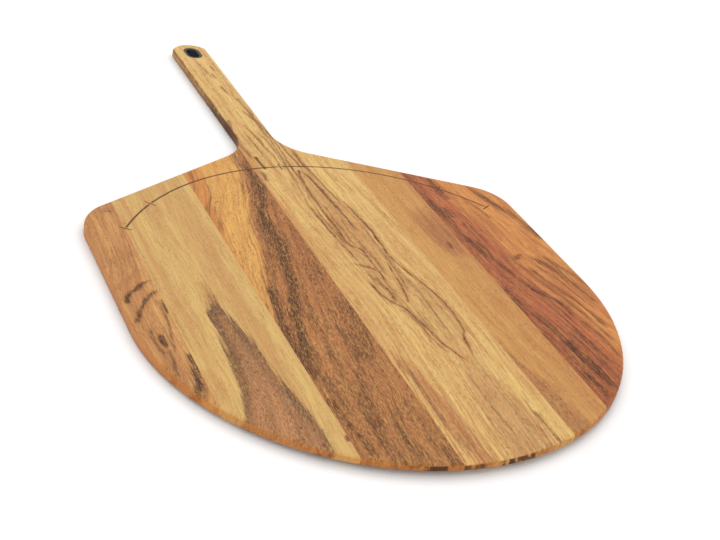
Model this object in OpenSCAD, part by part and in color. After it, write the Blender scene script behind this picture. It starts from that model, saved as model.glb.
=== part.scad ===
// Wooden pizza peel: a blade edge-glued from staves, one of which runs on as the handle,
// and a lined slot in the handle to hang it by.
// The board lies on the XY plane with its handle along +Y. The outline is drawn about the
// centre of the cutting guide's arc, and the whole is then moved back by mid_y.

/* [Blade] */
// Width between the blade's straight sides
blade_w = 354; // [330:1:380]
// Distance from the guide's centre forward to the centre of the front's arc
front_shift = 14.6; // [0:0.1:40]
// Where the sides would meet the shoulders, behind the guide's centre
shoulder_y = 123.5; // [110:0.5:140]
// Slope of the shoulders, in degrees
shoulder_slope = 29.4; // [24:0.1:36]
// Radius of the shoulder corners
shoulder_r = 38; // [20:0.5:50]
// Thickness of the board
thickness = 9; // [8:0.1:20]
// Radius of the rounded edges
edge_r = 1.8; // [1:0.1:2]
// Thickness at the front, which the tapered underside leaves
front_t = 4; // [3.8:0.1:8]
// Distance from the guide's centre forward to where that taper starts
taper_start = 0; // [-40:1:120]

/* [Handle] */
// Width of the handle
handle_w = 32; // [30:0.2:44]
// Distance from the guide's centre to the end of the handle
handle_reach = 424.7; // [380:0.1:480]
// Radius where the handle's edges run into the shoulders
neck_r = 40; // [20:1:45]
// Radius of the crown across the handle's end
end_crown_r = 18.5; // [18.5:0.5:60]

/* [Staves] */
// Glue lines, from the left edge of the blade to the right
glue_lines = [-149, -82, -21.5, 64.5, 103];

/* [Hanging slot] */
// Width of the slot in the wood, which the liner fills
slot_w = 15.4; // [12:0.2:18]
// Length of the slot in the wood
slot_len = 23.4; // [19:0.2:30]
// Wood left between the slot and the end of the handle
slot_margin = 8.2; // [7:0.1:16]
// Wall of the liner
liner_wall = 2.8; // [1.5:0.1:3.4]

/* [Cutting guide] */
// How far the guide's centre stands to the right of the board's centre line
guide_offset = 2; // [-4:0.1:4]
// Radius of the burnt guide arc
guide_r = 180.4; // [160:0.2:181]
// Angle from the middle to the guide's inner marks
mark_angle = 42.8; // [30:0.1:50]
// Angle from the middle to the guide's end marks
end_angle = 56.6; // [52:0.1:57]
// Length of each mark
mark_len = 10; // [6:0.5:12]
// Width of the burnt lines
line_w = 1; // [0.6:0.1:2]
// Depth of the burnt lines
line_d = 0.4; // [0.2:0.1:1]
// Gap in the arc at each side of a mark
mark_gap = 1.5; // [0.5:0.5:3]

/* [Hidden] */
$fn = 96;

half_w = blade_w / 2;
half_handle = handle_w / 2;
front_tip = front_shift + half_w;
// The row's origin stands under the middle of the whole length
mid_y = (handle_reach - front_tip) / 2;

// A tangent arc between the shoulder and a straight edge along Y turns by this much
turn = 90 - shoulder_slope;
// The right shoulder runs up and inwards, with the wood on its left
along = [-cos(shoulder_slope), sin(shoulder_slope)];
inward = [-sin(shoulder_slope), -cos(shoulder_slope)];
neck_y = shoulder_y + (half_w - half_handle) * tan(shoulder_slope);
corner_run = shoulder_r * tan(turn / 2);
neck_run = neck_r * tan(turn / 2);
corner_c = [half_w - shoulder_r, shoulder_y - corner_run];
neck_c = [half_handle + neck_r, neck_y + neck_run];
shoulder_start = [half_w, shoulder_y] + corner_run * along;
shoulder_end = [half_handle, neck_y] - neck_run * along;

// Centre of the crown across the handle's end
end_c = handle_reach - end_crown_r;

// How far the strips of rim reach in from the edge, and how far in the filling starts
strip = 14;
fill_in = 13;
// How far a straight edge or a filling runs on inside its neighbour, and how far the wood of
// the neck stands proud of them, so that no two surfaces nearly coincide
run_on = 4;
neck_lip = 0.02;
// How far a cutter passes the wood, and a length that passes the whole board
over = 1;
far = 1000;

slot_y = handle_reach - slot_margin - slot_len / 2;
stave_edges = concat([-far], glue_lines, [far]);

// Section of the rim: its outermost line is on x = 0 and the wood is at x > 0
module rim_section(depth) {
    translate([edge_r, 0]) square([depth - edge_r, thickness]);
    translate([0, edge_r]) square([depth, thickness - 2 * edge_r]);
    translate([edge_r, edge_r]) circle(edge_r);
    translate([edge_r, thickness - edge_r]) circle(edge_r);
}

// A straight length of rim from p to q, with the wood on its left
module straight_rim(p, q) {
    run = q - p;
    translate([p[0], p[1], 0])
        rotate([0, 0, atan2(run[1], run[0])])
            rotate([90, 0, 90])
                linear_extrude(norm(run)) rim_section(strip);
}

// A sector of a disc with a rounded rim
module outer_rim(centre, r, from, to) {
    translate([centre[0], centre[1], 0])
        rotate([0, 0, from])
            rotate_extrude(angle = to - from)
                translate([r, 0]) mirror([1, 0]) rim_section(r);
}

// The round cutter that shapes the inside corner between a shoulder and the handle
module neck_cutter() {
    reach = neck_r + 3 * strip;
    translate([neck_c[0], neck_c[1], 0])
        rotate_extrude()
            difference() {
                translate([0, -over]) square([reach, thickness + 2 * over]);
                translate([neck_r - neck_lip, 0]) rim_section(reach);
            }
}

// A straight bar along Y with both of its edges rounded
module bar(half, from, to) {
    translate([0, to, 0])
        rotate([90, 0, 0])
            linear_extrude(to - from) {
                translate([-half, 0]) rim_section(half);
                mirror([1, 0]) translate([-half, 0]) rim_section(half);
            }
}

module right_neck() {
    corners = [shoulder_end + strip * inward, shoulder_end - edge_r * inward,
               [half_handle + edge_r, neck_c[1]], [half_handle - strip, neck_c[1]]];
    difference() {
        translate([0, 0, -over / 2]) linear_extrude(thickness + over) polygon(corners);
        neck_cutter();
    }
}

module right_shoulder() {
    outer_rim(corner_c, shoulder_r, 0, turn);
    straight_rim(shoulder_start, shoulder_end + run_on * along);
    right_neck();
}

module shoulder_filling() {
    right = [corner_c - [0, run_on], shoulder_start + fill_in * inward - run_on * along,
             shoulder_end + fill_in * inward, [half_handle - fill_in, neck_c[1]]];
    left = [for (i = [3:-1:0]) [-right[i][0], right[i][1]]];
    linear_extrude(thickness) polygon(concat(right, left));
}

module handle_end() {
    intersection() {
        outer_rim([0, end_c], end_crown_r, 0, 180);
        bar(half_handle, end_c, handle_reach + over);
    }
}

// The wedge of wood planed off under the front of the blade
module taper() {
    rise = (thickness - front_t) / (front_tip - taper_start);
    translate([-far / 2, -taper_start, 0])
        rotate([-atan(rise), 0, 0])
            translate([0, -far, -far])
                cube(far);
}

module board() {
    outer_rim([0, -front_shift], half_w, 180, 360);
    bar(half_w, -front_shift, corner_c[1]);
    right_shoulder();
    mirror([1, 0, 0]) right_shoulder();
    shoulder_filling();
    bar(half_handle, neck_c[1] - run_on, end_c);
    handle_end();
}

// Arc of the guide between two angles from the middle, turning to the left
module guide_arc(from, to) {
    translate([0, 0, thickness - line_d])
        rotate([0, 0, 90 + from])
            rotate_extrude(angle = to - from)
                translate([guide_r - line_w / 2, 0]) square([line_w, line_d + over]);
}

module guide_mark(angle) {
    rotate([0, 0, angle])
        translate([-line_w / 2, guide_r - mark_len / 2, thickness - line_d])
            cube([line_w, mark_len, line_d + over]);
}

module guide() {
    gap = (line_w / 2 + mark_gap) / guide_r * 180 / PI;
    marks = [-end_angle, -mark_angle, 0, mark_angle, end_angle];
    for (angle = marks) guide_mark(angle);
    for (i = [0:3]) guide_arc(marks[i] + gap, marks[i + 1] - gap);
}

// Upright slot with round ends, inset from the slot in the wood
module slot(inset, from, to) {
    r = slot_w / 2 - inset;
    reach = (slot_len - slot_w) / 2;
    translate([0, slot_y, from])
        linear_extrude(to - from) {
            translate([0, -reach]) circle(r);
            translate([0, reach]) circle(r);
            translate([-r, -reach]) square([2 * r, 2 * reach]);
        }
}

// One stave of the board, counted from the left edge
module stave(i) {
    translate([0, -mid_y, 0])
        intersection() {
            difference() {
                board();
                translate([guide_offset, 0, 0]) guide();
                taper();
            }
            translate([stave_edges[i], -far / 2, -over])
                cube([stave_edges[i + 1] - stave_edges[i], far, thickness + 2 * over]);
        }
}

module left_edge_stave() { color([0.72, 0.53, 0.34]) stave(0); }
module left_wide_stave() { color([0.82, 0.66, 0.43]) stave(1); }
module left_inner_stave() { color([0.60, 0.41, 0.27]) stave(2); }
module handle_stave() {
    color([0.86, 0.68, 0.43])
        difference() {
            stave(3);
            translate([0, -mid_y, 0]) slot(0, -over, thickness + over);
        }
}
module right_narrow_stave() { color([0.80, 0.61, 0.39]) stave(4); }
module right_edge_stave() { color([0.68, 0.42, 0.28]) stave(5); }

module hanging_slot_liner() {
    color([0.10, 0.10, 0.11])
        translate([0, -mid_y, 0])
            difference() {
                slot(0, 0, thickness);
                slot(liner_wall, -over, thickness + over);
            }
}

left_edge_stave();
left_wide_stave();
left_inner_stave();
handle_stave();
right_narrow_stave();
right_edge_stave();
hanging_slot_liner();
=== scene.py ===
import math
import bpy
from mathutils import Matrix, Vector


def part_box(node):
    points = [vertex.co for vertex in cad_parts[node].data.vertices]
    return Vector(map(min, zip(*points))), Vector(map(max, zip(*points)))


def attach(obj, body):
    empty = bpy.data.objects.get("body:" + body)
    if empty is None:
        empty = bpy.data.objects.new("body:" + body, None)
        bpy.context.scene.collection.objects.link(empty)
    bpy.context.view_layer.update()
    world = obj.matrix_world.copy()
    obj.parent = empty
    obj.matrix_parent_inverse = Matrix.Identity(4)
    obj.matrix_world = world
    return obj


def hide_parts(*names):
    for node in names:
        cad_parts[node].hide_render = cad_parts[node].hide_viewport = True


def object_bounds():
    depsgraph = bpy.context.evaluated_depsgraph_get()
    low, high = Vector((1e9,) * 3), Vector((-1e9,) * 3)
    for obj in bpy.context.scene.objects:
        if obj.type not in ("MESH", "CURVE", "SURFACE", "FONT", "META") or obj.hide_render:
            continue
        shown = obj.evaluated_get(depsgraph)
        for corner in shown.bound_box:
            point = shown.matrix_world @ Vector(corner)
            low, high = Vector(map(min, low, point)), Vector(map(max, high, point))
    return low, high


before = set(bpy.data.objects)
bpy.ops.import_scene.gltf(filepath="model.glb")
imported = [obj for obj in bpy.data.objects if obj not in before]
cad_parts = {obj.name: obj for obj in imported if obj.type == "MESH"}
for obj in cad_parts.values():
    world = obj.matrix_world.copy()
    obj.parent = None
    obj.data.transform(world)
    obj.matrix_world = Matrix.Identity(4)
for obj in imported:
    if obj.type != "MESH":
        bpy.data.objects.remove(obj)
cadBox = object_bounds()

from types import SimpleNamespace

import bmesh
import bpy
from mathutils import Matrix, Vector

# The wood's figure is placed in millimetres from the centre of the cutting guide's arc:
# x to the right, y towards the handle. A line of figure is a list of (x, y) points, from
# the handle's side to the front.
peel = {
    "bladeRadius": 177.0,  # the front's round edge
    "frontShift": 14.6,  # its centre lies this far in front of the guide's centre
    "guideX": 2.0,  # the guide's centre lies this far right of the board's centre line
    "body": "root",
}
perMetre = 1000  # millimetres
guideY = cadBox[0].y * perMetre + peel["bladeRadius"] + peel["frontShift"]
topZ = cadBox[1].z * perMetre
seedStep = (7.31, 3.77, 1.93)  # how far one step of a seed moves a noise


# Node trees are written as expressions.

class Link:
    # an output socket, so that sums on it add their own Math nodes
    def __init__(self, board, socket):
        self.board = board
        self.socket = socket

    def maths(self, operation, other=None, turned=False):
        pair = [self] if other is None else [other, self] if turned else [self, other]
        return self.board.node("ShaderNodeMath", {"operation": operation}, dict(enumerate(pair)))

    def __add__(self, other):
        return self.maths("ADD", other)

    def __sub__(self, other):
        return self.maths("SUBTRACT", other)

    def __rsub__(self, other):
        return self.maths("SUBTRACT", other, True)

    def __mul__(self, other):
        return self.maths("MULTIPLY", other)

    def __truediv__(self, other):
        return self.maths("DIVIDE", other)

    def __abs__(self):
        return self.maths("ABSOLUTE")

    def __neg__(self):
        return self * -1.0

    def atLeast(self, other):
        return self.maths("MAXIMUM", other)

    def clamped(self):
        self.socket.node.use_clamp = True
        return self

    __radd__ = __add__


class Board:
    # a node tree that is being laid out
    def __init__(self, tree):
        self.tree = tree

    def node(self, kind, settings=None, values=None, out=0):
        made = self.tree.nodes.new(kind)
        for name, value in (settings or {}).items():
            if name == "points":
                line = made.mapping.curves[0].points
                while len(line) < len(value):
                    line.new(0.5, 0.5)
                for point, place in zip(line, value):
                    point.location = place
                    point.handle_type = "AUTO_CLAMPED"
                made.mapping.extend = "HORIZONTAL"
                made.mapping.update()
            elif name == "choices":
                while len(made.index_switch_items) < value:
                    made.index_switch_items.new()
            else:
                setattr(made, name, value)
        for key, value in (values or {}).items():
            if isinstance(value, Link):
                self.tree.links.new(value.socket, made.inputs[key])
            else:
                made.inputs[key].default_value = value
        return Link(self, made.outputs[out]) if len(made.outputs) else made

    def point(self, x=0.0, y=0.0, z=0.0):
        return self.node("ShaderNodeCombineXYZ", None, {0: x, 1: y, 2: z})

    def split(self, vector):
        first = self.node("ShaderNodeSeparateXYZ", None, {0: vector})
        return [Link(self, socket) for socket in first.socket.node.outputs]

    # the place on the object, in millimetres
    def place(self, shift=(0, 0, 0)):
        raw = self.node("ShaderNodeTexCoord", out=3)
        return self.node("ShaderNodeMapping", None,
                         {"Vector": raw, "Location": shift, "Scale": (perMetre,) * 3})

    def smooth(self, value, start, end):
        return self.node("ShaderNodeMapRange", {"interpolation_type": "SMOOTHSTEP"},
                         {0: value, 1: start, 2: end, 3: 0.0, 4: 1.0})

    def noise(self, place, detail=2.0, roughness=0.5, seed=0.0, scale=1.0):
        shifted = self.node("ShaderNodeVectorMath", {"operation": "ADD"},
                            {0: place, 1: tuple(seed * step for step in seedStep)})
        return self.node("ShaderNodeTexNoise", None,
                         {"Vector": shifted, "Scale": scale, "Detail": detail,
                          "Roughness": roughness})

    def mix(self, share, under, over, blend="MIX"):
        return self.node("ShaderNodeMix", {"data_type": "RGBA", "blend_type": blend},
                         {0: share, 6: under, 7: over}, 2)

    # x, at this y, of the line through these points, and how far along it y is
    def follow(self, y, points):
        points = sorted(points, key=lambda p: p[1])
        low, high = points[0][1], points[-1][1]
        left = min(p[0] for p in points) - 1.0
        wide = max(p[0] for p in points) + 1.0 - left
        along = self.node("ShaderNodeMapRange", None, {0: y, 1: low, 2: high, 3: 0.0, 4: 1.0})
        drawn = [((p[1] - low) / (high - low), (p[0] - left) / wide) for p in points]
        line = self.node("ShaderNodeFloatCurve", {"points": drawn}, {"Value": along})
        return line * wide + left, along

    def surface(self, values):
        shader = self.node("ShaderNodeBsdfPrincipled", None, values)
        self.node("ShaderNodeOutputMaterial", None, {0: shader})


def newMaterial(name):
    made = bpy.data.materials.new(name)
    made.use_nodes = True
    made.node_tree.nodes.clear()
    return made, Board(made.node_tree)


def tone(code):
    # a hex colour as Blender's linear one
    parts = [int(code[i:i + 2], 16) / 255 for i in (0, 2, 4)]
    linear = [c / 12.92 if c < 0.04045 else ((c + 0.055) / 1.055) ** 2.4 for c in parts]
    return (*linear, 1.0)


# "span" is where a stave's two sides lie. A zone is darker wood between a left and a right
# line, a vein is its line, width and strength, and a spot its middle, half sizes and strength.
leftEdge = {
    "node": "left_edge_stave", "span": (-178, -151), "seed": 1.0,
    "oil": "f8f4df", "light": "cc9862", "deep": "a8714a", "redder": "a0663f", "vein": "3a2013",
    "lean": [(0, 140), (-3, 60), (-8, 0), (-6, -60), (-12, -130)],
    "smoke": 0.25, "rings": 0.55, "pores": 0.5,
    "zones": [],
    "veins": [
        ([(-151, 32), (-158, 28), (-165, 22), (-172, 14), (-176, 4)], 2.6, 0.75),
        ([(-151, 20), (-158, 13), (-165, 4), (-171, -8), (-177, -19)], 2.8, 0.7),
        ([(-151, 47), (-160, 41), (-170, 31), (-178, 22)], 3.4, 0.3),
        ([(-155, 10), (-155, -8), (-156, -28), (-159, -52)], 1.5, 0.5),
        ([(-151, -52), (-153, -66), (-155, -80), (-158, -92), (-162, -104)], 3.2, 0.95),
        ([(-162, -46), (-164, -60), (-167, -75), (-171, -87)], 1.4, 0.5),
        ([(-151.5, 8), (-152, -10)], 1.6, 0.6),
        ([(-160, -22), (-159, -38), (-161, -54)], 1.4, 0.4),
        ([(-169, -22), (-169.5, -40), (-167, -56)], 1.4, 0.4),
        ([(-152, 72), (-160, 64), (-170, 56), (-179, 48)], 14.0, 0.3),
    ],
    "spots": [((-164, -39), (2.6, 7.5), 1.0), ((-160, 130), (17, 10), 0.42)],
}
leftWide = {
    "node": "left_wide_stave", "span": (-151, -84), "seed": 2.0,
    "oil": "e9e7d9", "light": "deb876", "deep": "cf9f66", "redder": "bb824f", "vein": "482818",
    "lean": [(0, 160), (0, 20), (0, -60), (-3, -150)],
    "smoke": 0.12, "rings": 0.3, "pores": 0.35,
    "zones": [
        {"left": [(-120, 14), (-122, -4), (-125, -16), (-127, -40), (-129, -60), (-131, -80),
                  (-133.5, -100), (-137, -115), (-144, -132)],
         "right": [(-116, 14), (-114.5, -4), (-112, -18), (-108, -44), (-105, -66), (-103, -90),
                   (-100, -115), (-98, -132), (-96, -150), (-97, -168)],
         "soft": 3.6, "rim": "5c3828", "top": "8a5e44", "low": "b97e58", "turn": (-45, -115),
         "fade": (26, -8), "pores": 1.0},
    ],
    "veins": [
        ([(-119, 26), (-118, 10), (-118, -6)], 5.0, 0.35),
        ([(-118, -12), (-118, -36), (-117, -58), (-113, -84)], 3.6, 0.35),
        ([(-124, -30), (-125, -56), (-127, -84), (-130, -108)], 2.2, 0.4),
        ([(-110, -52), (-107, -78), (-104, -104)], 2.0, 0.35),
        ([(-149, 132), (-149, 60), (-148.5, -10), (-149, -60)], 1.6, 0.35),
        ([(-140, 60), (-139, 20), (-139, -30)], 1.2, 0.22),
        ([(-147, -70), (-149, -92), (-151, -112)], 5.0, 0.25),
        ([(-104, 34), (-100, 0), (-96, -40), (-93, -90)], 1.6, 0.2),
        ([(-133, 30), (-136, -20), (-139, -80)], 1.6, 0.2),
    ],
    "spots": [((-85, -153), (1.6, 3.4), 0.9)],
}
leftInner = {
    "node": "left_inner_stave", "span": (-84, -23.5), "seed": 3.0,
    "oil": "f9ecc2", "light": "dcb070", "deep": "cd9c62", "redder": "b07650", "vein": "3a1f12",
    "lean": [(27, 205), (20, 150), (7, 105), (0, 60), (-8, 20), (-14, -20), (-19, -60),
             (-23, -120), (-26, -185)],
    "smoke": 0.5, "rings": 0.75, "pores": 0.6,
    "zones": [
        {"left": [(-95, 200), (-95, 40)],
         "right": [(-70, 186), (-73, 150), (-77, 110), (-80, 80), (-84, 52)],
         "soft": 6.0, "rim": "c58450", "top": "c98c55", "low": "cb8d58", "turn": (200, 20),
         "fade": (200, 190), "pores": 0.3},
        {"left": [(-33, 205), (-36, 175), (-41, 148), (-49, 120), (-56, 100), (-60, 80), (-63, 58),
                  (-67, 42), (-73, 24), (-77, 5), (-81, -15), (-86, -40), (-96, -80), (-96, -190)],
         "right": [(-10, 205), (-10, -190)],
         "soft": 9.0, "rim": "8e5b3e", "top": "a86c47", "low": "a4714e", "turn": (120, -120),
         "fade": (230, 210), "pores": 1.0},
    ],
    "veins": [
        ([(-31, 206), (-30, 182), (-30, 158), (-34, 130), (-41, 106), (-44, 84), (-46, 56),
          (-50, 35),
          (-55, 15), (-60, 0), (-65, -15), (-70, -36), (-74, -60), (-80, -96)], 6.4, 0.9),
        ([(-70, 18), (-75, -3), (-79, -26), (-81, -60), (-81, -100)], 5.0, 0.85),
        ([(-36, 140), (-44, 112), (-50, 92), (-53, 70), (-57, 50), (-63, 30),
          (-68, 12)], 2.2, 0.55),
        ([(-26, 160), (-30, 118), (-35, 92), (-39, 60), (-44, 30), (-49, 5), (-55, -22),
          (-60, -60)], 2.2, 0.4),
        ([(-28, -6), (-27, -32), (-29, -56), (-38, -74), (-48, -86)], 11.0, 0.5),
        ([(-48, -84), (-52, -106), (-58, -130), (-63, -150), (-66, -174)], 6.0, 0.5),
        ([(-36, -88), (-39, -112), (-36, -136)], 3.0, 0.3),
        ([(-30, -110), (-31, -140), (-30, -176)], 2.4, 0.3),
        ([(-82, -110), (-79, -140), (-74, -176)], 4.0, 0.55),
        ([(-45, -30), (-50, -55), (-55, -80)], 3.0, 0.3),
        ([(-62, -40), (-66, -70), (-70, -104)], 2.4, 0.35),
    ],
    "spots": [((-38, -146), (7, 8), 0.45), ((-58, -162), (8, 9), 0.35), ((-33, -66), (6, 9), 0.3)],
    "endPatches": [(-41.0, 8.0)],
}
handleWood = {
    "node": "handle_stave", "span": (-23.5, 62.5), "seed": 4.0,
    "oil": "f4f7e5", "light": "e0b978", "deep": "d0a067", "redder": "b06c3e", "vein": "4e2713",
    "lean": [(0, 430), (0, 180), (2, 100), (6, 20), (10, -40), (8, -90), (4, -180)],
    "smoke": 0.1, "rings": 0.95, "pores": 0.5,
    "zones": [
        {"left": [(8, 160), (4, 120), (1, 90), (0, 60), (1, 25), (4, -10), (9, -26), (16, -46),
                  (22, -72), (30, -98)],
         "right": [(24, 170), (27, 130), (32, 110), (34, 70), (33, 40), (38, 14), (44, -6),
                   (47, -34), (45, -60),
                   (38, -80), (33, -98)],
         "soft": 9.0, "rim": "cc9a62", "top": "cb9762", "low": "d8ac70", "turn": (60, -60),
         "fade": (185, 120), "pores": 0.6},
        {"left": [(-30, 210), (-30, -190)], "right": [(-19, 200), (-18, 120), (-21, 60), (-25, 20)],
         "soft": 8.0, "rim": "cb9059", "top": "cf965d", "low": "cf965d", "turn": (200, 20),
         "fade": (290, 240), "pores": 0.5},
        {"left": [(-22, -80), (-19, -120), (-19, -185)], "right": [(-12, -80), (-6, -120),
                                                                   (-2, -185)],
         "soft": 7.0, "rim": "bf8252", "top": "b97c50", "low": "b97c50", "turn": (-100, -185),
         "fade": (-60, -100), "pores": 0.6},
        {"left": [(20, -100), (12, -140), (8, -185)], "right": [(40, -100), (44, -140), (46, -185)],
         "soft": 9.0, "rim": "c69463", "top": "c69463", "low": "c2905f", "turn": (-100, -185),
         "fade": (-80, -120), "pores": 0.6},
    ],
    "veins": [
        ([(-16, 200), (-15.5, 188), (-14, 176)], 1.6, 0.95),
        ([(-20, 174), (-19, 166), (-20, 158)], 1.4, 0.5),
        ([(14.5, 175), (12, 163), (10.5, 150)], 1.2, 0.75),
        ([(15, 175), (18, 163), (20, 140), (21, 120), (22, 100), (23.5, 72)], 1.4, 0.75),
        ([(11, 206), (10, 180), (10, 160), (9, 130), (8.5, 100), (8, 66), (10, 55), (15, 49),
          (16, 38), (16, 18),
          (15, 2), (17, -6), (21, -18)], 1.1, 0.7),
        ([(27, 32), (25.5, 15), (25, 0), (23, -12), (20, -24)], 1.1, 0.7),
        ([(22, 212), (22, 190), (24, 168), (25, 150), (28, 116)], 1.1, 0.55),
        ([(30, 128), (32, 105), (34, 80), (34, 58), (33, 40), (35, 25), (38, 12), (43, -5),
          (46, -20), (47.5, -36),
          (46.5, -50), (45, -60), (40, -69), (38, -80), (35.5, -90), (33, -99)], 1.0, 0.75),
        ([(3, 12), (5, -9), (9, -20), (13, -26), (16, -38), (18, -50), (20, -60), (22, -72),
          (24.5, -80),
          (27, -88), (32, -99)], 1.1, 0.7),
        ([(0, 122), (1, 85), (3, 60), (5, 34)], 1.2, 0.6),
        ([(3, 110), (5, 80), (7, 62), (12, 46), (18, 34)], 1.0, 0.45),
        ([(0, 33), (6, 29), (12, 25), (18, 17)], 2.6, 0.6),
        ([(29, 90), (30, 60), (30, 30), (29, 10), (26, -14)], 1.0, 0.4),
        ([(10, 14), (11, 2), (13, -10), (11, -22)], 1.6, 0.6),
        ([(5, -34), (8, -60), (14, -84), (22, -104)], 1.0, 0.25),
        ([(46, 176), (52, 140), (56, 100), (60, 76), (62, 58)], 1.6, 0.3),
        ([(-10, -96), (-10, -130), (-9, -170)], 1.8, 0.35),
        ([(-4, -60), (-4, -110), (-3, -180)], 1.0, 0.25),
        ([(48, -150), (48, -166), (49, -186)], 1.6, 0.55),
        ([(10, -110), (8, -140), (8, -184)], 1.1, 0.3),
        ([(38, -110), (41, -140), (42, -180)], 1.1, 0.3),
        ([(28, 188), (29, 150), (30, 120)], 0.8, 0.3),
        ([(4, 288), (7, 272), (10, 254), (12, 234), (12, 214), (11, 186)], 1.1, 0.6),
        ([(1, 334), (2, 324), (4, 316)], 0.9, 0.6),
        ([(5, 376), (5.5, 364)], 0.9, 0.5), ([(1, 360), (1.5, 348)], 0.9, 0.5),
        ([(-6, 396), (-3.5, 372), (-1, 348)], 0.8, 0.45),
        ([(8, 310), (9, 292), (10, 268)], 1.8, 0.4),
        ([(-4, 262), (-2, 230), (1, 196), (3, 168)], 0.9, 0.5),
        ([(7, 300), (9, 262), (9, 224), (7, 190), (4, 150)], 0.9, 0.55),
        ([(-9, 246), (-8, 214), (-6, 186), (-5, 160)], 0.9, 0.45),
        ([(12, 262), (15, 226), (17, 196), (18, 172)], 1.0, 0.55),
        ([(3, 250), (5, 214), (5, 178), (2, 140), (-2, 100)], 0.9, 0.45),
        ([(6, 140), (4, 112), (4, 84), (6, 56)], 0.9, 0.4),
        ([(13, 120), (12, 90), (12, 66), (14, 52)], 1.0, 0.45),
        ([(18, 100), (17, 74), (18, 50), (20, 30), (19, 8)], 1.0, 0.5),
        ([(12, -28), (15, -48), (17, -66), (21, -86)], 1.0, 0.4),
        ([(-15, 268), (-17, 248), (-19, 228)], 1.9, 0.5),
        ([(-10, 264), (-12, 240), (-12, 214)], 1.3, 0.3),
        ([(-18, 236), (-20, 214), (-19, 196)], 2.1, 0.4),
    ],
    "spots": [((14, 168), (3.2, 8), 0.4), ((29, 82), (3.2, 5), 0.5), ((27, -131), (6, 5), 0.35),
              ((16, 26), (5, 7), 0.35), ((45, -22), (2.4, 5), 0.35)],
    "sideStains": [((-14, -2), (165, 190), 0.62), ((-14, -2), (325, 285), 0.72)],
    "endPatches": [(14.0, 15.0)],
}
rightNarrow = {
    "node": "right_narrow_stave", "span": (62.5, 101), "seed": 5.0,
    "oil": "e9e5c5", "light": "d4a066", "deep": "c68c58", "redder": "b67047", "vein": "4c2817",
    "lean": [(0, 160), (2, 60), (3, -20), (6, -90), (10, -170)],
    "smoke": 0.16, "rings": 0.5, "pores": 0.55,
    "zones": [
        {"left": [(82, 104), (81, 84), (80, 60), (83, 40), (88, 26)],
         "right": [(98, 104), (99, 84), (100, 60), (98, 40), (93, 26)],
         "soft": 7.0, "rim": "bd7c55", "top": "b4744f", "low": "b4744f", "turn": (90, 30),
         "fade": (112, 84), "until": (22, 38), "pores": 0.5},
        {"left": [(60, -88), (58, -185)], "right": [(64, -88), (72, -120), (80, -170)],
         "soft": 6.0, "rim": "bb8258", "top": "b9815a", "low": "b57d58", "turn": (-90, -180),
         "fade": (-60, -104), "pores": 1.0},
    ],
    "veins": [
        ([(62, 55), (66, 66), (71, 76), (78, 86), (80, 106)], 2.6, 0.22),
        ([(63, -98), (70, -116), (79, -138)], 1.8, 0.35),
        ([(84, 62), (84, 48), (88, 34)], 1.4, 0.3),
        ([(94, 60), (94, 46), (91, 34)], 1.4, 0.3),
        ([(70, -20), (72, -60), (78, -110), (86, -156)], 1.6, 0.22),
        ([(88, -56), (90, -80), (92, -106)], 3.0, 0.22),
        ([(99, 120), (99, 40), (99, -60), (99.5, -140)], 1.2, 0.35),
    ],
    "spots": [((89.5, 47), (2.0, 6.5), 0.75), ((89, 46), (6.5, 14), 0.28), ((88, -38),
                                                                            (7, 15), 0.36)],
}
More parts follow.
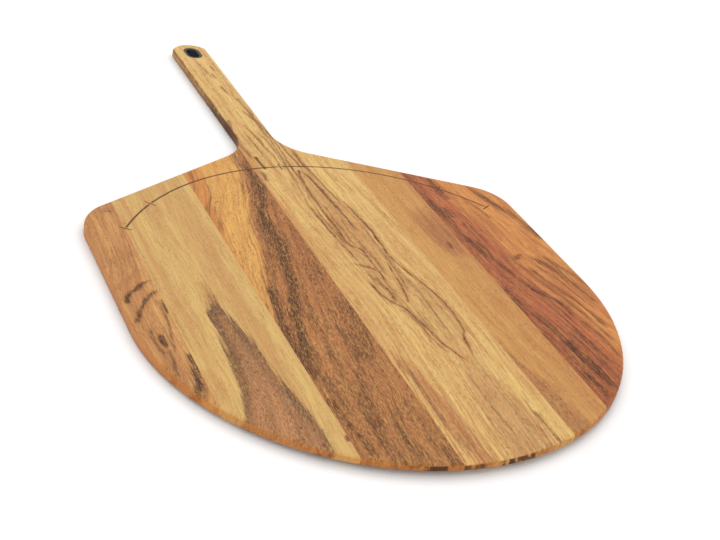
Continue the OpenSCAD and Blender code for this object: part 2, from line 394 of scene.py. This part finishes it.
rightEdge = {
    "node": "right_edge_stave", "span": (101, 178), "seed": 6.0,
    "oil": "ffecba", "light": "cb945f", "deep": "b87a51", "redder": "9a583c", "vein": "36160e",
    "lean": [(0, 160), (6, 100), (10, 50), (14, 0), (22, -50), (28, -100), (30, -150)],
    "smoke": 0.5, "rings": 0.8, "pores": 0.5,
    "zones": [
        {"left": [(90, 165), (90, -160)],
         "right": [(122, 165), (126, 110), (130, 60), (129, 20), (134, -20), (140, -60),
                   (142, -140)],
         "soft": 9.0, "rim": "b06549", "top": "ae6549", "low": "a55f46", "turn": (100, -110),
         "fade": (200, 180), "pores": 0.7},
        {"left": [(90, 165), (90, -160)],
         "right": [(108, 165), (110, 110), (111, 60), (111, 10), (113, -40), (122, -90),
                   (132, -140)],
         "soft": 7.0, "rim": "9a563f", "top": "9c5940", "low": "925139", "turn": (100, -110),
         "fade": (200, 180), "pores": 0.7},
    ],
    "veins": [
        ([(103, 126), (106, 88), (108, 70), (110, 50), (112, 18)], 4.1, 0.6),
        ([(110, 104), (112, 86)], 4.4, 0.55),
        ([(114, 58), (116, 30), (118, 10), (121, 0), (125, -20), (131, -30), (137, -48),
          (136, -66)], 3.7, 0.6),
        ([(103, -12), (104, -32), (105, -52)], 3.7, 0.6),
        ([(109, -46), (112, -72), (114, -84)], 4.1, 0.6),
        ([(113, -78), (116, -104), (118, -118), (118, -142)], 5.4, 0.85),
        ([(128, -70), (132, -95), (133, -114)], 3.4, 0.5),
        ([(107, -116), (109, -150)], 4.4, 0.65),
        ([(122, 152), (123, 112)], 3.4, 0.6),
        ([(123, -74), (126, -98), (128, -124)], 2.4, 0.4),
        ([(150, 139), (155, 118), (162, 98), (167, 80), (172, 55), (175, 40)], 4.1, 0.6),
        ([(140, 100), (148, 84), (158, 66), (166, 44), (171, 20)], 1.7, 0.3),
        ([(143, 28), (147, 26), (151, 18), (156, 4), (160, -10), (164, -30), (168, -48)], 3.4, 0.6),
        ([(142, 28), (138, 25), (135, 20)], 3.4, 0.5),
        ([(158, 24), (164, 6), (170, -10), (174, -28)], 1.9, 0.45),
        ([(139, 12), (143, -6), (148, -26), (153, -48), (157, -78)], 2.5, 0.5),
        ([(131, 22), (138, -8), (143, -36), (149, -66), (152, -96)], 1.8, 0.45),
        ([(146, 14), (151, -6), (156, -28), (161, -56)], 1.6, 0.4),
        ([(127, 110), (130, 76), (130, 40), (133, 10)], 2.9, 0.35),
        ([(140, -60), (144, -84), (145, -112)], 1.9, 0.4),
        ([(137, 120), (142, 96), (146, 80)], 1.9, 0.4),
    ],
    "spots": [((131, -27), (3.4, 4.5), 0.6), ((136, 78), (8, 20), 0.4), ((124, -104),
                                                                         (14, 16), 0.25),
              ((137, -56), (3, 8), 0.4)],
}
staves = [leftEdge, leftWide, leftInner, handleWood, rightNarrow, rightEdge]

# How each pattern of the wood is stretched: millimetres across the fibres and along them,
# then detail, roughness and seed.
grains = {
    "broad": (9, 330, 2.0, 0.5, 0.0),
    "streak": (2.2, 120, 3.0, 0.6, 1.0),
    "fibre": (0.8, 24, 2.0, 0.6, 2.0),
    "field": (15, 420, 1.0, 0.4, 3.0),
    "fleck": (0.8, 3.6, 2.0, 0.65, 4.0),
    "patch": (6, 34, 2.0, 0.55, 6.0),
    "jag": (1.5, 11, 2.0, 0.6, 7.0),
    "haze": (5, 52, 3.0, 0.6, 8.0),
    "fray": (2.0, 70, 3.0, 0.65, 9.0),
}
wood = {
    "slant": 0.35,  # the figure moves this far sideways for each millimetre down
    "wander": 5.0, "tremble": 2.2,  # how far the fibres stray, in millimetres
    "ringCount": 9.0, "sapRings": 0.5, "heartRings": 0.6,
    "rim": 0.75, "heartStreaks": 0.55,
    "halo": 0.6, "vein": 0.92, "dashes": 0.78, "palePores": 0.34, "paleFibres": 0.22,
    "joint": 0.2, "scorch": 0.4, "side": 0.5, "endGrain": 0.5,
    "paleTone": "eccb8e", "scorchTone": "6b3f22", "sideWoodAndHighlightTone": "b8702f",
    "endTone": "5d3320", "stainTone": "3a160b", "patchTone": "2e160e", "underShadeTone": "4a2b1c",
    "outerEdge": 170,  # a stave's side beyond this isn't a joint
    "roughness": 0.47, "bump": 0.35, "bumpDepth": 0.00022, "ior": 1.45, "specular": 0.2,
}


def strongest(shares):
    top = shares[0]
    for share in shares[1:]:
        top = top.atLeast(share)
    return top


def figureOf(b, look):
    # the patterns that the stave's colours are mixed by
    x, y, z = b.split(b.place((-peel["guideX"], -guideY, 0)))
    under = topZ - z  # depth below the top face
    wander = b.noise(b.point(x / 26, y / 60, under / 30), 2.0, 0.5, look["seed"])
    tremble = b.noise(b.point(x / 3.5, y / 11, under / 6), 2.0, 0.6, look["seed"] + 0.4)
    strayed = x + under * wood["slant"] + (wander - 0.5) * wood["wander"]
    strayed = strayed + (tremble - 0.5) * wood["tremble"]
    g = SimpleNamespace(x=x, y=y, z=z, under=under, strayed=strayed)

    # the grain runs along the stave's own lean
    lean, _ = b.follow(y, look["lean"])
    u = strayed - lean
    for name, (across, along, detail, roughness, seed) in grains.items():
        place = b.point(u / across, y / along, under / (across * 2.5))
        setattr(g, name, b.noise(place, detail, roughness, look["seed"] * 5 + seed))
    g.jag = g.jag - 0.5
    g.fray = g.fray - 0.5

    # growth lines are the level lines of a stretched field
    level = abs((g.field * wood["ringCount"]).maths("FRACT") - 0.5)
    g.lines = b.smooth(level, 0.16, 0.0) * b.smooth(g.streak, 0.3, 0.6)
    # smoky streaks about 5 mm wide
    g.smoke = b.smooth(g.haze * 0.8 + g.streak * 0.2, 0.47, 0.68)
    return g


def sapwood(b, look, g):
    tint = b.smooth(g.broad * 0.65 + g.streak * 0.35, 0.36, 0.64)
    colour = b.mix(tint, tone(look["light"]), tone(look["deep"]))
    colour = b.mix(g.lines * (wood["sapRings"] * look["rings"]), colour, tone(look["redder"]))
    return b.mix(g.smoke * look["smoke"], colour, tone(look["redder"]))


def heartwood(b, look, g, colour):
    # lays the stave's zones over its colour, and gives how thick the pores are with them
    pores = look["pores"]
    for zone in look["zones"]:
        left, _ = b.follow(g.y, zone["left"])
        right, _ = b.follow(g.y, zone["right"])
        soft = zone["soft"]
        ragged = g.fray * (soft * 3.2) + g.jag * (soft * 0.9)
        fromLeft = g.strayed - left + ragged
        fromRight = right - g.strayed + ragged
        inside = b.smooth(fromLeft, -soft / 2, soft / 2) * b.smooth(fromRight, -soft / 2, soft / 2)
        inside = inside * b.smooth(g.y, *zone["fade"])
        if "until" in zone:
            inside = inside * b.smooth(g.y, *zone["until"])
        heart = b.mix(b.smooth(g.y, *zone["turn"]), tone(zone["top"]), tone(zone["low"]))
        rim = b.smooth(fromLeft.maths("MINIMUM", fromRight), soft * 2.6, 0.0)
        heart = b.mix(rim * wood["rim"], heart, tone(zone["rim"]))
        dusky = b.smooth(g.streak * 0.6 + g.broad * 0.4, 0.42, 0.66)
        heart = b.mix(dusky * wood["heartStreaks"], heart, tone(zone["rim"]))
        heart = b.mix(g.lines * (wood["heartRings"] * look["rings"]), heart, tone(look["vein"]))
        heart = b.mix(g.smoke * (look["smoke"] + 0.2), heart, tone(look["vein"]))
        colour = b.mix(inside, colour, heart)
        pores = inside * (zone["pores"] - look["pores"]) + pores
    return colour, pores


def veinShares(b, look, g):
    # how dark the single veins and spots are, and how strong the redder halo round them
    darks = []
    halos = []
    swell = g.patch * 2.2 - 0.1  # a vein thickens and thins along its way
    for points, width, strength in look["veins"]:
        line, along = b.follow(g.y, points)
        torn = g.jag * (1.2 + width * 0.7) + g.fray * (width * 1.6)
        away = abs(g.strayed + torn - line) / swell
        held = b.smooth(abs(along - 0.5), 0.5, 0.38) * strength
        if strength > 0.35:
            darks.append(b.smooth(away, width * 1.15 + 0.3, width * 0.15) * held)
            halos.append(b.smooth(away, width * 1.5 + 2.8, width * 0.3) * held)
        else:
            halos.append(b.smooth(away, width * 1.3 + 0.6, width * 0.2) * held * 2.0)
    for (spotX, spotY), (wide, tall), strength in look["spots"]:
        acrossIt = ((g.strayed - spotX) / wide).maths("POWER", 2.0)
        alongIt = ((g.y - spotY) / tall).maths("POWER", 2.0)
        away = acrossIt + alongIt + (g.patch - 0.5) * 1.2
        spot = b.smooth(away, 1.5, 0.05) * strength
        halos.append(spot)
        if strength > 0.5:
            darks.append(spot)
    return strongest(darks), strongest(halos)


def sidesOver(b, look, g, colour):
    # end grain drinks more oil, and the lower part of each side gets painted shade
    facing = b.split(b.node("ShaderNodeNewGeometry", out=1))
    side = b.smooth(abs(facing[2]), 0.9, 0.35)
    endGrain = b.smooth(abs(facing[1]), 0.35, 0.85) * side
    mottle = b.noise(b.point(g.x / 5, g.y / 5, g.z / 9), 3.0, 0.6, look["seed"] + 9)
    # the sides take a tone that is partly their own darker wood and partly a painted orange
    # highlight along the rounded top edge
    colour = b.mix(side * wood["side"], colour, tone(wood["sideWoodAndHighlightTone"]))
    drunk = endGrain * b.smooth(mottle, 0.5, 0.66)
    colour = b.mix(drunk * wood["endGrain"], colour, tone(wood["endTone"]))
    for (nearX, farX), (low, high), strength in look.get("sideStains", []):
        stain = b.smooth(g.x, farX, nearX) * b.smooth(g.y, low, high) * side
        stain = stain * b.smooth(g.streak * 0.6 + mottle * 0.4, 0.3, 0.55)
        colour = b.mix(stain * strength, colour, tone(wood["stainTone"]))
    for middle, wide in look.get("endPatches", []):
        patched = b.smooth(abs(g.x - middle) / wide, 1.0, 0.8) * b.smooth(g.y, -150.0, -160.0)
        patched = patched * side * b.smooth(mottle, 0.35, 0.5)
        colour = b.mix(patched * 0.85, colour, tone(wood["patchTone"]))
    # painted shade: the sides grow darker towards the underside, where they turn away from the
    # light
    paintedUnderShade = side * b.smooth(g.under, 6.0, 9.0)
    return b.mix(paintedUnderShade * (mottle * 0.9 + 0.2), colour, tone(wood["underShadeTone"])), endGrain


def woodFinish(look):
    made, b = newMaterial(look["node"].title().replace("_", ""))
    g = figureOf(b, look)
    light, redder, vein = (tone(look[name]) for name in ("light", "redder", "vein"))
    colour, pores = heartwood(b, look, g, sapwood(b, look, g))

    dark, halo = veinShares(b, look, g)
    colour = b.mix(halo * wood["halo"], colour, redder)
    broken = b.smooth(g.fibre * 0.45 + g.fleck * 0.35 + g.streak * 0.4, 0.42, 0.66)
    dark = (dark * (broken * 0.9 + 0.5)).clamped()
    colour = b.mix(dark * wood["vein"], colour, vein)

    # open pores and flecks along the fibres, thickest in the heartwood and round the veins
    pores = (halo * (0.9 if look["zones"] else 1.0)).atLeast(pores)
    dash = b.smooth(g.fleck, 0.5, 0.68) * pores
    colour = b.mix(dash * b.smooth(g.patch, 0.25, 0.6) * wood["dashes"], colour, vein)
    colour = b.mix(b.smooth(g.fleck, 0.5, 0.34) * pores * wood["palePores"], colour, light)
    colour = b.mix(b.smooth(g.fibre, 0.48, 0.68) * (g.patch * 0.7 + 0.15), colour, redder)
    paler = b.smooth(g.fibre, 0.48, 0.28) * wood["paleFibres"]
    colour = b.mix(paler, colour, tone(wood["paleTone"]))
    colour = b.mix(1.0, colour, tone(look["oil"]), "MULTIPLY")

    # the hairline joints, and the scorch beside the burnt guide
    for joint in look["span"]:
        if abs(joint) < wood["outerEdge"]:
            hairline = b.smooth(abs(g.x - float(joint)), 0.5, 0.1)
            colour = b.mix(hairline * wood["joint"], colour, redder)
    ring = abs((g.x * g.x + g.y * g.y).maths("SQRT") - guide["radius"])
    onArc = b.smooth(g.y, 96.0, 99.0) * b.smooth(g.under, 1.2, 0.6)
    scorch = b.smooth(ring, 1.7, 0.5) * onArc * wood["scorch"]
    colour = b.mix(scorch, colour, tone(wood["scorchTone"]))

    colour, endGrain = sidesOver(b, look, g, colour)
    sheen = wood["roughness"] + (g.fibre - 0.5) * 0.16 + dark * 0.08 + endGrain * 0.12
    height = (g.fibre * 0.5 + g.streak * 0.35 - dash * 0.9) - g.lines * 0.15
    bump = b.node("ShaderNodeBump", None,
                  {"Strength": wood["bump"], "Distance": wood["bumpDepth"], "Height": height})
    b.surface({"Base Color": colour, "Roughness": sheen, "Normal": bump, "IOR": wood["ior"],
               "Specular IOR Level": wood["specular"]})
    return made


shading = {
    "weld": 2e-6, "sliver": 1e-7,  # metres
    "crease": math.radians(35), "flatWeight": 100,
}


def plainCopy(node, name):
    # the CAD solid's own shape with its loose triangles joined, so that it can be shaded smooth
    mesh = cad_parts[node].data.copy()
    mesh.name = name
    work = bmesh.new()
    work.from_mesh(mesh)
    bmesh.ops.remove_doubles(work, verts=work.verts, dist=shading["weld"])
    bmesh.ops.dissolve_degenerate(work, edges=work.edges, dist=shading["sliver"])
    for face in work.faces:
        face.smooth = True
    for edge in work.edges:
        if len(edge.link_faces) == 2:
            edge.smooth = edge.calc_face_angle(0.0) < shading["crease"]
    work.to_mesh(mesh)
    work.free()
    piece = bpy.data.objects.new(name, mesh)
    bpy.context.scene.collection.objects.link(piece)
    weigh = piece.modifiers.new("evenShade", "WEIGHTED_NORMAL")
    weigh.keep_sharp = True
    weigh.weight = shading["flatWeight"]
    return piece


guide = {
    "radius": 180.4, "lineWidth": 0.96, "char": 0.22, "groove": 0.4,
    "innerMark": 42.8, "endMark": 56.6, "markLength": 10.0, "markGap": 1.5, "markHalf": 0.5,
    "arcSteps": 60, "colour": "2c1a10", "paler": "5a3620",
}
slotRing = {
    "node": "hanging_slot_liner", "wall": 2.8, "lip": 0.8, "bendSteps": 18, "lipSteps": 5,
    "bend": 0.4999,  # share of the width, a hair under a full half circle
    "colour": "25252a", "worn": "3c3c42",
}

for look in staves:
    words = look["node"].split("_")
    piece = plainCopy(look["node"], words[0] + "".join(w.title() for w in words[1:]))
    piece.data.materials.clear()
    piece.data.materials.append(woodFinish(look))
    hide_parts(look["node"])
    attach(piece, peel["body"])
print("staves: six, with", sum(len(look["veins"]) for look in staves), "veins")


# The burnt guide and the slot's liner each follow a path.

def charFinish():
    made, b = newMaterial("BurntGuide")
    place = b.place()
    fine = b.noise(place, 3.0, scale=1.4)
    slow = b.noise(place, 1.0, scale=0.03)
    share = b.smooth(fine * 0.6 + slow * 0.4, 0.42, 0.62)
    colour = b.mix(share, tone(guide["colour"]), tone(guide["paler"]))
    bump = b.node("ShaderNodeBump", None, {"Strength": 0.6, "Distance": 0.0002, "Height": fine})
    b.surface({"Base Color": colour, "Roughness": 0.72 + (fine - 0.5) * 0.3, "Normal": bump})
    return made


def linerFinish():
    made, b = newMaterial("SlotLiner")
    place = b.place()
    grit = b.noise(place, 3.0, scale=2.6)
    scuff = b.noise(place, 4.0, scale=0.35)
    worn = b.smooth(scuff, 0.52, 0.7)
    colour = b.mix(worn * 0.6, tone(slotRing["colour"]), tone(slotRing["worn"]))
    bump = b.node("ShaderNodeBump", None, {"Strength": 0.25, "Distance": 0.0001, "Height": grit})
    sheen = 0.5 + worn * 0.2 + (grit - 0.5) * 0.1
    b.surface({"Base Color": colour, "Roughness": sheen, "Normal": bump})
    return made


def newTree(name, sizes):
    # a Geometry Nodes tree with one named input for each size
    tree = bpy.data.node_groups.new(name, "GeometryNodeTree")
    tree.interface.new_socket("Geometry", in_out="OUTPUT", socket_type="NodeSocketGeometry")
    for label in sizes:
        tree.interface.new_socket(label, in_out="INPUT", socket_type="NodeSocketFloat")
    b = Board(tree)
    given = b.node("NodeGroupInput").socket.node
    return b, {s.name: Link(b, s) for s in given.outputs if s.name}


def finishTree(b, shape, middle, material):
    # moves the shape to its place and paints it
    put = b.node("GeometryNodeTransform", None, {"Geometry": shape, "Translation": middle})
    real = b.node("GeometryNodeRealizeInstances", None, {0: put})
    painted = b.node("GeometryNodeSetMaterial", None, {"Geometry": real, "Material": material})
    b.node("NodeGroupOutput", None, {0: painted})


def fromTree(b, name, sizes):
    # runs the tree once and keeps its result as a plain mesh
    holder = bpy.data.objects.new(name, bpy.data.meshes.new(name))
    bpy.context.scene.collection.objects.link(holder)
    modifier = holder.modifiers.new(name, "NODES")
    modifier.node_group = b.tree
    named = {s.name: s.identifier for s in b.tree.interface.items_tree if s.in_out == "INPUT"}
    for label, value in sizes.items():
        modifier[named[label]] = value
    bpy.context.view_layer.update()
    seen = holder.evaluated_get(bpy.context.evaluated_depsgraph_get())
    mesh = bpy.data.meshes.new_from_object(seen)
    holder.modifiers.clear()
    holder.data = mesh
    work = bmesh.new()
    work.from_mesh(mesh)
    bmesh.ops.remove_doubles(work, verts=work.verts, dist=shading["sliver"])
    bmesh.ops.recalc_face_normals(work, faces=work.faces)
    work.to_mesh(mesh)
    work.free()
    return holder


def joinAll(b, shapes):
    made = b.node("GeometryNodeJoinGeometry")
    for shape in shapes:
        b.tree.links.new(shape.socket, made.socket.node.inputs[0])
    return made


def buildGuide(material):
    sizes = {
        "Radius": guide["radius"] / perMetre, "Line width": guide["lineWidth"] / perMetre,
        "Char height": guide["char"] / perMetre, "Mark length": guide["markLength"] / perMetre,
        "Mark gap": (guide["markGap"] + guide["markHalf"]) / guide["radius"],
        "Inner mark": math.radians(guide["innerMark"]), "End mark": math.radians(guide["endMark"]),
        "Centre X": peel["guideX"] / perMetre, "Centre Y": guideY / perMetre,
        "Floor Z": (topZ - guide["groove"]) / perMetre,
    }
    b, size = newTree("burntGuide", sizes)
    profile = b.node("GeometryNodeCurvePrimitiveQuadrilateral", None,
                     {"Width": size["Line width"], "Height": size["Char height"]})
    inner, end, gap = size["Inner mark"], size["End mark"], size["Mark gap"]
    marks = [-end, -inner, 0.0, inner, end]
    shapes = []
    for first, last in zip(marks, marks[1:]):
        arc = b.node("GeometryNodeCurveArc", None,
                     {"Resolution": guide["arcSteps"], "Radius": size["Radius"],
                      "Start Angle": first + gap + math.pi / 2,
                      "Sweep Angle": last - first - gap * 2.0})
        upright = b.node("GeometryNodeSetCurveNormal", {"mode": "Z_UP"}, {0: arc})
        shapes.append(b.node("GeometryNodeCurveToMesh", None,
                             {"Curve": upright, "Profile Curve": profile, "Fill Caps": True}))
    # one short bar on each mark, turned to point at the arc's centre
    choice = {"Index": b.node("GeometryNodeInputIndex")}
    choice.update({slot + 1: mark for slot, mark in enumerate(marks)})
    angle = b.node("GeometryNodeIndexSwitch", {"data_type": "FLOAT", "choices": len(marks)}, choice)
    spot = b.point(-(angle.maths("SINE") * size["Radius"]), angle.maths("COSINE") * size["Radius"])
    points = b.node("GeometryNodePoints", None, {"Count": len(marks), "Position": spot})
    barSize = b.point(size["Line width"], size["Mark length"], size["Char height"])
    bar = b.node("GeometryNodeMeshCube", None, {"Size": barSize})
    about = b.node("FunctionNodeEulerToRotation", None, {0: b.point(z=angle)})
    shapes.append(b.node("GeometryNodeInstanceOnPoints", None,
                         {"Points": points, "Instance": bar, "Rotation": about}))
    middle = b.point(size["Centre X"], size["Centre Y"],
                     size["Floor Z"] + size["Char height"] * 0.5)
    finishTree(b, joinAll(b, shapes), middle, material)
    return fromTree(b, "burntGuide", sizes)


def buildLiner(material):
    low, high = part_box(slotRing["node"])
    sizes = {
        "Width": high.x - low.x, "Length": high.y - low.y, "Height": high.z - low.z,
        "Wall": slotRing["wall"] / perMetre, "Lip": slotRing["lip"] / perMetre,
        "Centre X": (low.x + high.x) / 2, "Centre Y": (low.y + high.y) / 2,
        "Centre Z": (low.z + high.z) / 2,
    }
    b, size = newTree("slotLiner", sizes)
    width = size["Width"] - size["Wall"]
    flat = b.node("GeometryNodeCurvePrimitiveQuadrilateral", None,
                  {"Width": width, "Height": size["Length"] - size["Wall"]})
    path = b.node("GeometryNodeFilletCurve", {"mode": "POLY"},
                  {"Curve": flat, "Count": slotRing["bendSteps"],
                   "Radius": width * slotRing["bend"], "Limit Radius": True})
    path = b.node("GeometryNodeSetCurveNormal", {"mode": "Z_UP"}, {0: path})
    block = b.node("GeometryNodeCurvePrimitiveQuadrilateral", None,
                   {"Width": size["Wall"], "Height": size["Height"]})
    profile = b.node("GeometryNodeFilletCurve", {"mode": "POLY"},
                     {"Curve": block, "Count": slotRing["lipSteps"], "Radius": size["Lip"],
                      "Limit Radius": True})
    ring = b.node("GeometryNodeCurveToMesh", None, {"Curve": path, "Profile Curve": profile})
    rounded = b.node("GeometryNodeSetShadeSmooth", None, {0: ring})
    middle = b.point(size["Centre X"], size["Centre Y"], size["Centre Z"])
    finishTree(b, rounded, middle, material)
    return fromTree(b, "hangingSlotLiner", sizes)


burntGuide = buildGuide(charFinish())
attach(burntGuide, peel["body"])
liner = buildLiner(linerFinish())
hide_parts(slotRing["node"])
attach(liner, peel["body"])
print("guide and liner:", len(burntGuide.data.polygons), "and", len(liner.data.polygons), "faces")


studio = {
    "azimuth": -30.206, "elevation": 30.559, "roll": 11.963, "distance": 0.95023, "lens": 65.69,
    "sensor": 36, "clipStart": 0.02,
    "lookAt": (2.19, 23.19),  # on the top face, from the guide's centre
    "floorSize": 14, "floorZ": -0.0003,  # just under the peel, so the two faces don't coincide
    "floor": "f4f4f4", "sky": 1.02,
    "lights": [("softKey", (0.9, 0.7, 2.0), 1.6, 9.0), ("softFill", (-1.4, -0.9, 1.3), 1.4, 6.0)],
}


def placeCamera():
    azimuth, elevation = math.radians(studio["azimuth"]), math.radians(studio["elevation"])
    back = Vector((math.sin(azimuth) * math.cos(elevation),
                   -math.cos(azimuth) * math.cos(elevation), math.sin(elevation)))
    lookX, lookY = studio["lookAt"]
    target = Vector((lookX + peel["guideX"], lookY + guideY, topZ)) / perMetre
    camera = bpy.data.objects.new("camera", bpy.data.cameras.new("camera"))
    camera.data.lens = studio["lens"]
    camera.data.sensor_width = studio["sensor"]
    camera.data.clip_start = studio["clipStart"]
    bpy.context.scene.collection.objects.link(camera)
    stand = Matrix.Translation(target + back * studio["distance"])
    aim = (-back).to_track_quat("-Z", "Y").to_matrix().to_4x4()
    camera.matrix_world = stand @ aim @ Matrix.Rotation(math.radians(studio["roll"]), 4, "Z")
    bpy.context.scene.camera = camera


def softLight(name, place, size, power):
    lamp = bpy.data.lights.new(name, "AREA")
    lamp.shape = "DISK"
    lamp.size = size
    lamp.energy = power
    holder = bpy.data.objects.new(name, lamp)
    bpy.context.scene.collection.objects.link(holder)
    place = Vector(place)
    aim = (-place).to_track_quat("-Z", "Y").to_matrix().to_4x4()
    holder.matrix_world = Matrix.Translation(place) @ aim


def layFloor():
    bpy.ops.mesh.primitive_plane_add(size=studio["floorSize"], location=(0, 0, studio["floorZ"]))
    floor = bpy.context.object
    floor.name = "floor"
    made, b = newMaterial("Floor")
    b.surface({"Base Color": tone(studio["floor"]), "Roughness": 0.9, "Specular IOR Level": 0.1})
    floor.data.materials.append(made)


placeCamera()
layFloor()
for light in studio["lights"]:
    softLight(*light)
sky = bpy.data.worlds.new("sky")
bpy.context.scene.world = sky
sky.use_nodes = True
glow = sky.node_tree.nodes["Background"].inputs
glow["Color"].default_value = (1, 1, 1, 1)
glow["Strength"].default_value = studio["sky"]
bpy.context.scene.view_settings.view_transform = "Standard"
print("studio: camera, floor and lights")
